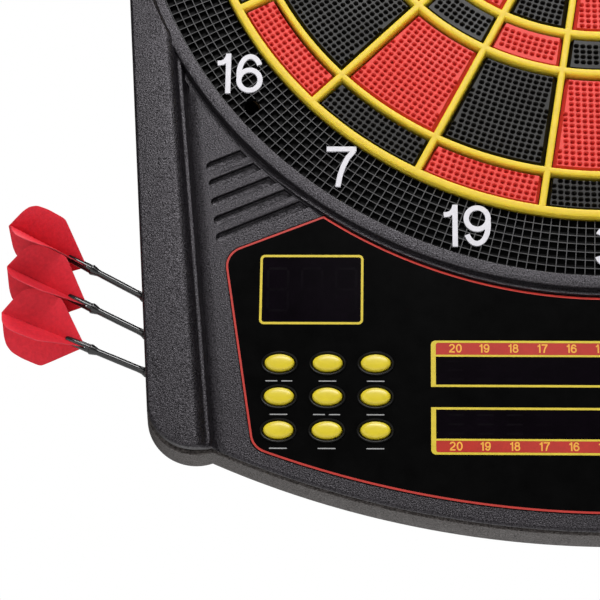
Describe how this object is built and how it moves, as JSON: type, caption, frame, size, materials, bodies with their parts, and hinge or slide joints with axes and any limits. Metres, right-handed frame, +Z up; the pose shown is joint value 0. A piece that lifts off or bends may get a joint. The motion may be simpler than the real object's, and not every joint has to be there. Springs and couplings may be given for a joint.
{
  "type": "electronic dartboard cabinet",
  "caption": "Wall-hung electronic soft-tip dartboard: round target in a keyhole-shaped housing, button panel with score windows below, stored darts in the left side.",
  "frame": {"origin": "bull's-eye axis at the wall plane, which is the centre of the wall screw pattern", "axes": "+X right as seen by the player, +Z up, +Y into the wall; the target faces -Y"},
  "size_m": [0.5134, 0.0405, 0.5769],
  "materials": {
    "housing": "fine moulded texture",
    "cover": "moulded, satin",
    "number_ring": "moulded, satin, raised grid",
    "spider": "moulded, semi-gloss",
    "mat": "matte",
    "membrane": "printed film",
    "foam": "closed-cell foam",
    "plate": "hardboard",
    "panel": "glossy printed sheet",
    "display": "dark tinted lens",
    "collar": "glossy",
    "button": "glossy dome",
    "circuit": "circuit board",
    "speaker": "black",
    "inlet": "moulded",
    "holder": "moulded",
    "dart_tip": "soft tip",
    "dart_barrel": "turned, grooved",
    "dart_shaft": "glossy",
    "dart_flight": "thin film",
    "segment_red": "moulded, satin",
    "segment_black": "moulded, satin",
    "screw": "zinc plated",
    "cable": "sheathed"
  },
  "bodies": {
    "cabinet": {"front_bezel": "housing", "rear_cover": "cover", "number_ring": "number_ring", "spider": "spider", "rubber_mat": "mat", "membrane_matrix": "membrane", "foam_pad": "foam", "backing_plate": "plate", "control_panel": "panel", "score_display_left": "display", "score_display_right": "display", "cricket_display_upper": "display", "cricket_display_lower": "display", "button_collars": "collar", "keypad_left": "circuit", "keypad_right": "circuit", "main_board": "circuit", "speaker": "speaker", "power_inlet": "inlet", "dart_holder": "holder", "cover_screws": "screw", "plate_screws": "screw", "board_screws": "screw", "ribbon_cable": "cable", "flat_cables": "cable", "lead_wires": "cable"},
    "button_1": {"button_1": "button"},
    "button_2": {"button_2": "button"},
    "button_3": {"button_3": "button"},
    "button_4": {"button_4": "button"},
    "button_5": {"button_5": "button"},
    "button_6": {"button_6": "button"},
    "button_7": {"button_7": "button"},
    "button_8": {"button_8": "button"},
    "button_9": {"button_9": "button"},
    "start_button": {"start_button": "button"},
    "power_button": {"power_button": "button"},
    "double_red": {"double_red": "segment_red"},
    "double_black": {"double_black": "segment_black"},
    "outer_single_red": {"outer_single_red": "segment_red"},
    "outer_single_black": {"outer_single_black": "segment_black"},
    "treble_red": {"treble_red": "segment_red"},
    "treble_black": {"treble_black": "segment_black"},
    "inner_single_red": {"inner_single_red": "segment_red"},
    "inner_single_black": {"inner_single_black": "segment_black"},
    "outer_bull": {"outer_bull": "segment_black"},
    "inner_bull": {"inner_bull": "segment_red"},
    "dart_1": {"dart_1_tip": "dart_tip", "dart_1_barrel": "dart_barrel", "dart_1_shaft": "dart_shaft", "dart_1_flight": "dart_flight"},
    "dart_2": {"dart_2_tip": "dart_tip", "dart_2_barrel": "dart_barrel", "dart_2_shaft": "dart_shaft", "dart_2_flight": "dart_flight"},
    "dart_3": {"dart_3_tip": "dart_tip", "dart_3_barrel": "dart_barrel", "dart_3_shaft": "dart_shaft", "dart_3_flight": "dart_flight"}
  },
  "joints": [
    {"name": "button_1_press", "type": "slide", "parent": "cabinet", "child": "button_1", "axis": [0, 1, 0], "range_m": [0, 0.0015], "stiffness_N_per_m": 500, "springref_m": -0.001},
    {"name": "button_2_press", "type": "slide", "parent": "cabinet", "child": "button_2", "axis": [0, 1, 0], "range_m": [0, 0.0015], "stiffness_N_per_m": 500, "springref_m": -0.001},
    {"name": "button_3_press", "type": "slide", "parent": "cabinet", "child": "button_3", "axis": [0, 1, 0], "range_m": [0, 0.0015], "stiffness_N_per_m": 500, "springref_m": -0.001},
    {"name": "button_4_press", "type": "slide", "parent": "cabinet", "child": "button_4", "axis": [0, 1, 0], "range_m": [0, 0.0015], "stiffness_N_per_m": 500, "springref_m": -0.001},
    {"name": "button_5_press", "type": "slide", "parent": "cabinet", "child": "button_5", "axis": [0, 1, 0], "range_m": [0, 0.0015], "stiffness_N_per_m": 500, "springref_m": -0.001},
    {"name": "button_6_press", "type": "slide", "parent": "cabinet", "child": "button_6", "axis": [0, 1, 0], "range_m": [0, 0.0015], "stiffness_N_per_m": 500, "springref_m": -0.001},
    {"name": "button_7_press", "type": "slide", "parent": "cabinet", "child": "button_7", "axis": [0, 1, 0], "range_m": [0, 0.0015], "stiffness_N_per_m": 500, "springref_m": -0.001},
    {"name": "button_8_press", "type": "slide", "parent": "cabinet", "child": "button_8", "axis": [0, 1, 0], "range_m": [0, 0.0015], "stiffness_N_per_m": 500, "springref_m": -0.001},
    {"name": "button_9_press", "type": "slide", "parent": "cabinet", "child": "button_9", "axis": [0, 1, 0], "range_m": [0, 0.0015], "stiffness_N_per_m": 500, "springref_m": -0.001},
    {"name": "start_button_press", "type": "slide", "parent": "cabinet", "child": "start_button", "axis": [0, 1, 0], "range_m": [0, 0.0015], "stiffness_N_per_m": 500, "springref_m": -0.001},
    {"name": "power_button_press", "type": "slide", "parent": "cabinet", "child": "power_button", "axis": [0, 1, 0], "range_m": [0, 0.0015], "stiffness_N_per_m": 500, "springref_m": -0.001},
    {"name": "double_red_slide", "type": "slide", "parent": "cabinet", "child": "double_red", "axis": [0, 1, 0], "range_m": [0, 0.0012], "stiffness_N_per_m": 3000, "springref_m": -0.0005},
    {"name": "double_black_slide", "type": "slide", "parent": "cabinet", "child": "double_black", "axis": [0, 1, 0], "range_m": [0, 0.0012], "stiffness_N_per_m": 3000, "springref_m": -0.0005},
    {"name": "outer_single_red_slide", "type": "slide", "parent": "cabinet", "child": "outer_single_red", "axis": [0, 1, 0], "range_m": [0, 0.0012], "stiffness_N_per_m": 5000, "springref_m": -0.0005},
    {"name": "outer_single_black_slide", "type": "slide", "parent": "cabinet", "child": "outer_single_black", "axis": [0, 1, 0], "range_m": [0, 0.0012], "stiffness_N_per_m": 5000, "springref_m": -0.0005},
    {"name": "treble_red_slide", "type": "slide", "parent": "cabinet", "child": "treble_red", "axis": [0, 1, 0], "range_m": [0, 0.0012], "stiffness_N_per_m": 2500, "springref_m": -0.0005},
    {"name": "treble_black_slide", "type": "slide", "parent": "cabinet", "child": "treble_black", "axis": [0, 1, 0], "range_m": [0, 0.0012], "stiffness_N_per_m": 2500, "springref_m": -0.0005},
    {"name": "inner_single_red_slide", "type": "slide", "parent": "cabinet", "child": "inner_single_red", "axis": [0, 1, 0], "range_m": [0, 0.0012], "stiffness_N_per_m": 3500, "springref_m": -0.0005},
    {"name": "inner_single_black_slide", "type": "slide", "parent": "cabinet", "child": "inner_single_black", "axis": [0, 1, 0], "range_m": [0, 0.0012], "stiffness_N_per_m": 3500, "springref_m": -0.0005},
    {"name": "outer_bull_slide", "type": "slide", "parent": "cabinet", "child": "outer_bull", "axis": [0, 1, 0], "range_m": [0, 0.0012], "stiffness_N_per_m": 600, "springref_m": -0.0005},
    {"name": "inner_bull_slide", "type": "slide", "parent": "cabinet", "child": "inner_bull", "axis": [0, 1, 0], "range_m": [0, 0.0012], "stiffness_N_per_m": 500, "springref_m": -0.0005},
    {"name": "dart_1_slide", "type": "slide", "parent": "cabinet", "child": "dart_1", "axis": [-0.8788, 0, 0.4772], "range_m": [0, 0.085]},
    {"name": "dart_2_slide", "type": "slide", "parent": "cabinet", "child": "dart_2", "axis": [-0.8934, 0, 0.4493], "range_m": [0, 0.085]},
    {"name": "dart_3_slide", "type": "slide", "parent": "cabinet", "child": "dart_3", "axis": [-0.9219, 0, 0.3875], "range_m": [0, 0.085]}
  ]
}
